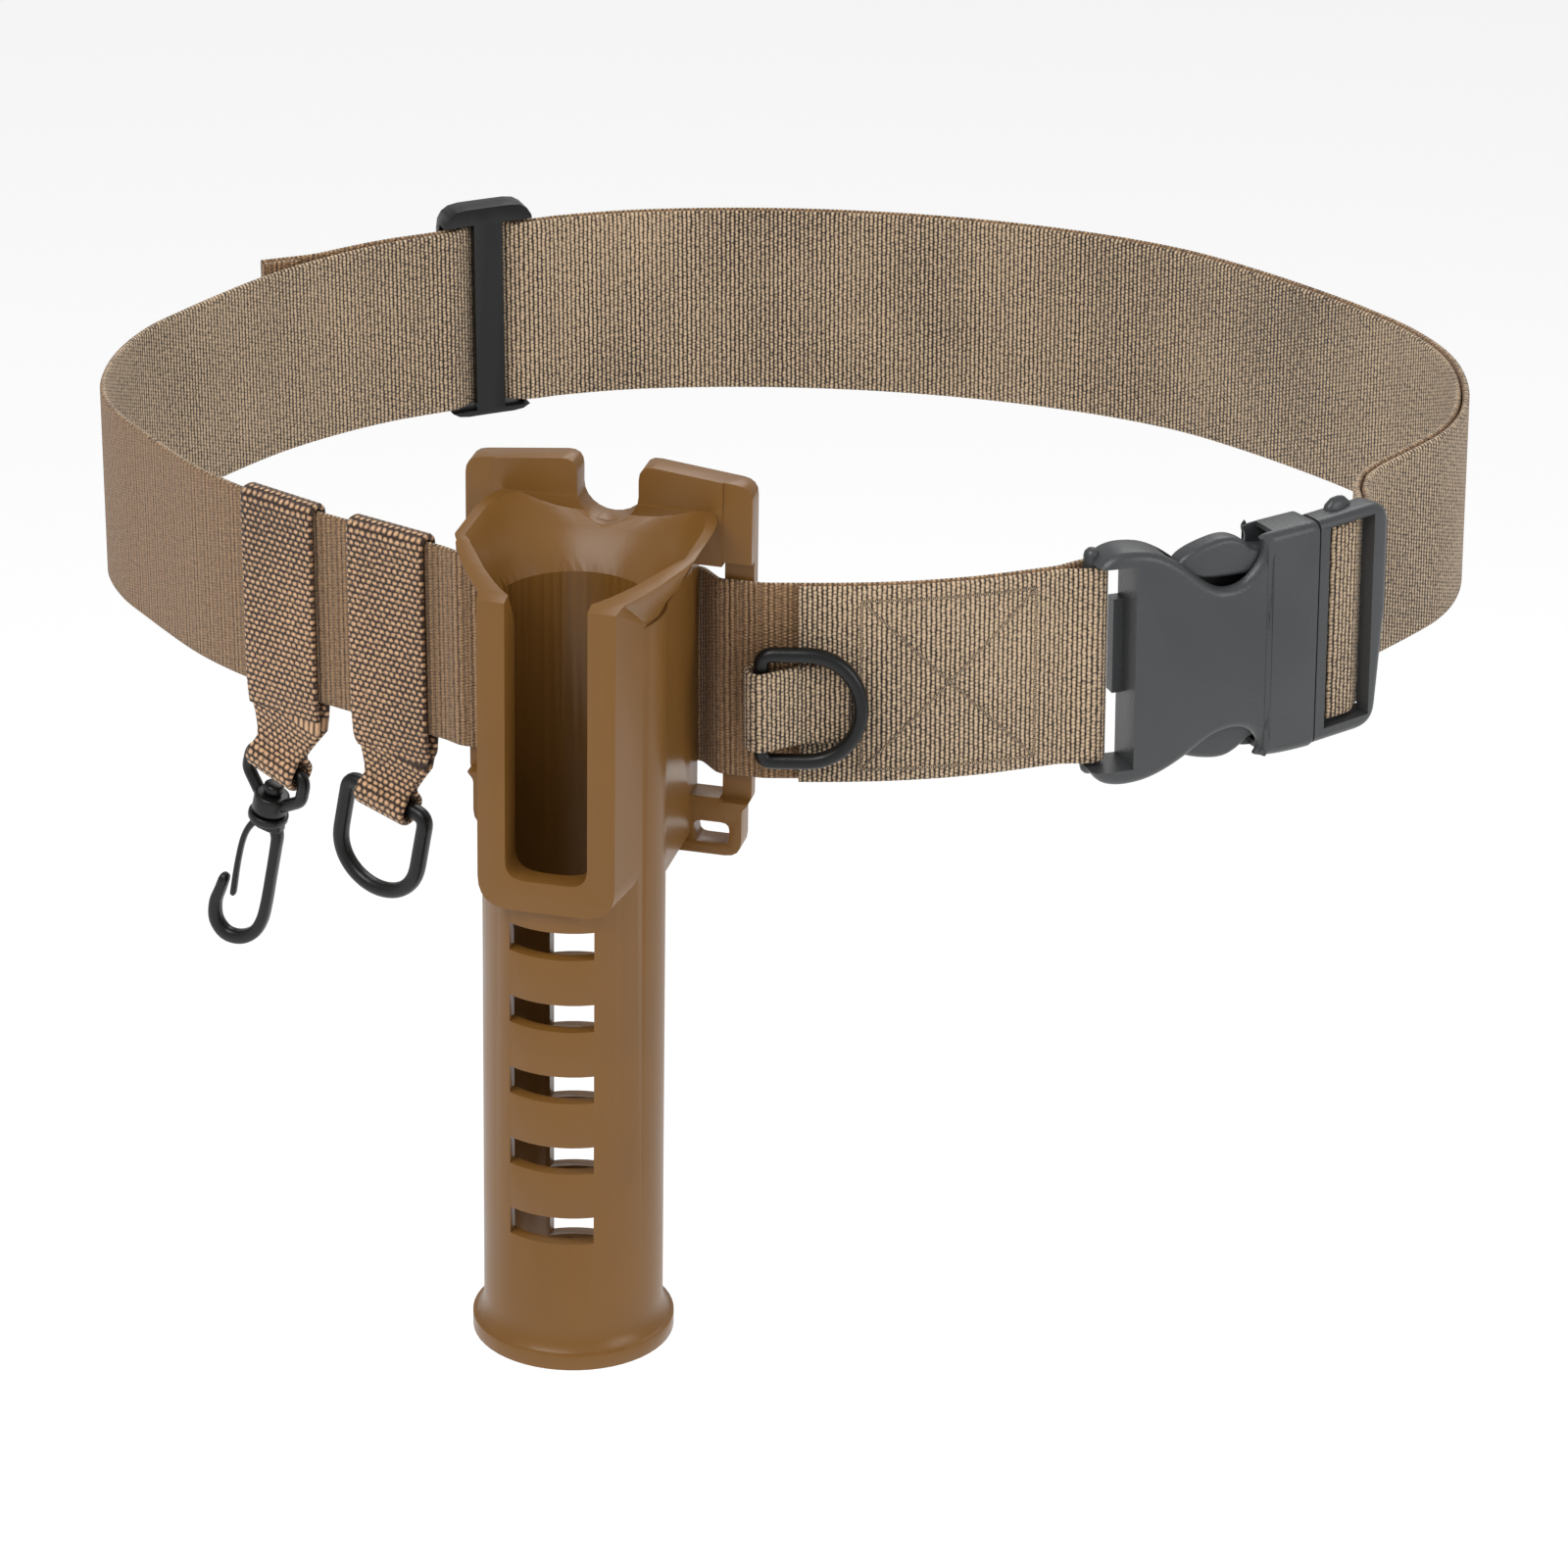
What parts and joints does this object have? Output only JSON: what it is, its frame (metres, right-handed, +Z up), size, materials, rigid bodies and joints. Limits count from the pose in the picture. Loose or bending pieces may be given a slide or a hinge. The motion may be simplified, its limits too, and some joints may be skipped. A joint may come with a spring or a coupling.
{
  "type": "fishing fighting belt",
  "caption": "Webbing waist belt with a moulded rod holder at the front, side release buckle, adjuster, a D-ring, and two hanging loops with a swivel snap hook and a D-ring.",
  "frame": {"origin": "middle of the waist hollow, at the strap's mid height, where the belt sits on the waist", "axes": "+Z up along the wearer's body, -Y towards the front of the belt, +X to the right of a viewer who faces the front"},
  "size_m": [0.3393, 0.2969, 0.2121],
  "materials": {
    "strap_webbing": "coarse woven nylon, dull",
    "loop_webbing": "coarse woven nylon, dull",
    "tan_plastic": "smooth satin moulding",
    "black_plastic": "fine grained satin moulding"
  },
  "bodies": {
    "belt": {"waist_strap": "strap_webbing", "rod_holder": "tan_plastic", "buckle_socket": "black_plastic", "buckle_plug": "black_plastic", "tri_glide": "black_plastic", "d_ring_tab": "strap_webbing", "hook_loop": "loop_webbing", "ring_loop": "loop_webbing"},
    "front_ring": {"front_d_ring": "black_plastic"},
    "hanging_ring": {"hanging_d_ring": "black_plastic"},
    "eye": {"hook_eye": "black_plastic"},
    "hook": {"snap_hook": "black_plastic"}
  },
  "joints": [
    {"name": "front_ring_swing", "type": "hinge", "parent": "belt", "child": "front_ring", "pos_m": [-0.00775, -0.12927, -0.004], "axis": [0, 0, 1], "range_deg": [-130, 0]},
    {"name": "hanging_ring_swing", "type": "hinge", "parent": "belt", "child": "hanging_ring", "pos_m": [-0.09748, -0.0909, -0.04491], "axis": [0.8061, -0.5541, -0.2079], "range_deg": [-80, 80]},
    {"name": "hook_eye_swing", "type": "hinge", "parent": "belt", "child": "eye", "pos_m": [-0.12492, -0.07104, -0.04468], "axis": [0.7573, -0.5996, -0.2588], "range_deg": [-75, 75]},
    {"name": "hook_swivel", "type": "hinge", "parent": "eye", "child": "hook", "pos_m": [-0.12794, -0.06864, -0.05907], "axis": [0.2029, -0.1607, 0.9659], "continuous": true}
  ]
}
